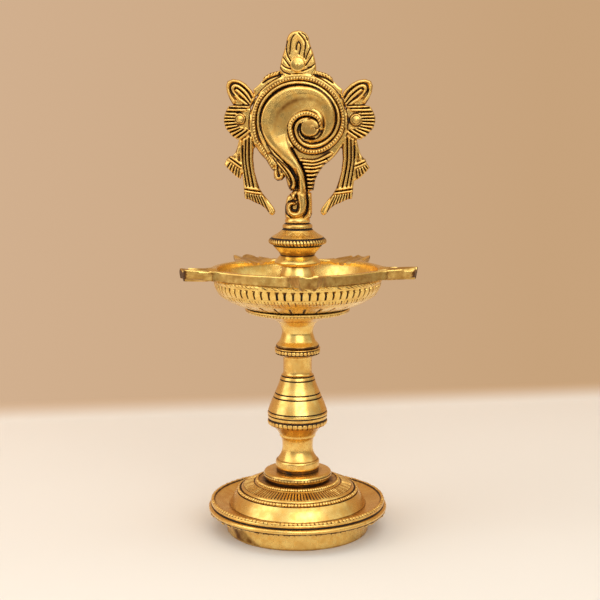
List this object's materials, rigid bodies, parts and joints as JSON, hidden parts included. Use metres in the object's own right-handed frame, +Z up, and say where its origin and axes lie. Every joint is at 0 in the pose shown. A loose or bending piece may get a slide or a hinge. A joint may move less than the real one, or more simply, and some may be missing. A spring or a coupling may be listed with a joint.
{
  "type": "oil lamp",
  "caption": "Free-standing brass oil lamp: round hollow foot, turned stem, open dish with wick spouts, and a conch emblem on a screwed finial.",
  "frame": {"origin": "on the table plane, under the middle of the lamp's plan; the stem's axis stands 0.94 mm to -X and 3.57 mm to +Y of it, because the spouts are spaced unevenly about X and Y", "axes": "+Z up; the conch's face looks along -Y and its crown points up; +X to the right seen from -Y"},
  "size_m": [0.1302, 0.1268, 0.2802],
  "materials": {
    "aged_brass": "cast and buffed, dark in the recesses",
    "bright_brass": "polished satin",
    "steel": "plain steel thread"
  },
  "bodies": {
    "foot": {"base": "aged_brass"},
    "seat": {"seat_ring": "aged_brass"},
    "stem": {"stem": "aged_brass", "stem_stud": "steel"},
    "collar": {"beaded_collar": "aged_brass"},
    "bowl": {"bowl_support": "bright_brass", "bowl_stud": "steel", "bowl": "bright_brass"},
    "boss": {"finial_boss": "bright_brass"},
    "finial": {"knop": "bright_brass", "conch_emblem": "aged_brass", "finial_stud": "steel"}
  },
  "joints": [
    {"name": "stem_turn", "type": "hinge", "parent": "foot", "child": "seat", "pos_m": [-0.00093, 0.00357, 0.03], "axis": [0, 0, 1], "range_deg": [0, 2970]},
    {"name": "stem_rise", "type": "slide", "parent": "seat", "child": "stem", "axis": [0, 0, 1], "range_m": [0, 0.01031]},
    {"name": "bowl_turn", "type": "hinge", "parent": "stem", "child": "collar", "pos_m": [-0.00093, 0.00357, 0.1008], "axis": [0, 0, 1], "range_deg": [0, 2970]},
    {"name": "bowl_rise", "type": "slide", "parent": "collar", "child": "bowl", "axis": [0, 0, 1], "range_m": [0, 0.01031]},
    {"name": "finial_turn", "type": "hinge", "parent": "bowl", "child": "boss", "pos_m": [-0.00093, 0.00357, 0.1307], "axis": [0, 0, 1], "range_deg": [0, 2925]},
    {"name": "finial_rise", "type": "slide", "parent": "boss", "child": "finial", "axis": [0, 0, 1], "range_m": [0, 0.00813]}
  ],
  "couplings": [
    {"joint": "stem_rise", "follows": "stem_turn", "m_per_rad": 0.00019894},
    {"joint": "bowl_rise", "follows": "bowl_turn", "m_per_rad": 0.00019894},
    {"joint": "finial_rise", "follows": "finial_turn", "m_per_rad": 0.00015915}
  ]
}
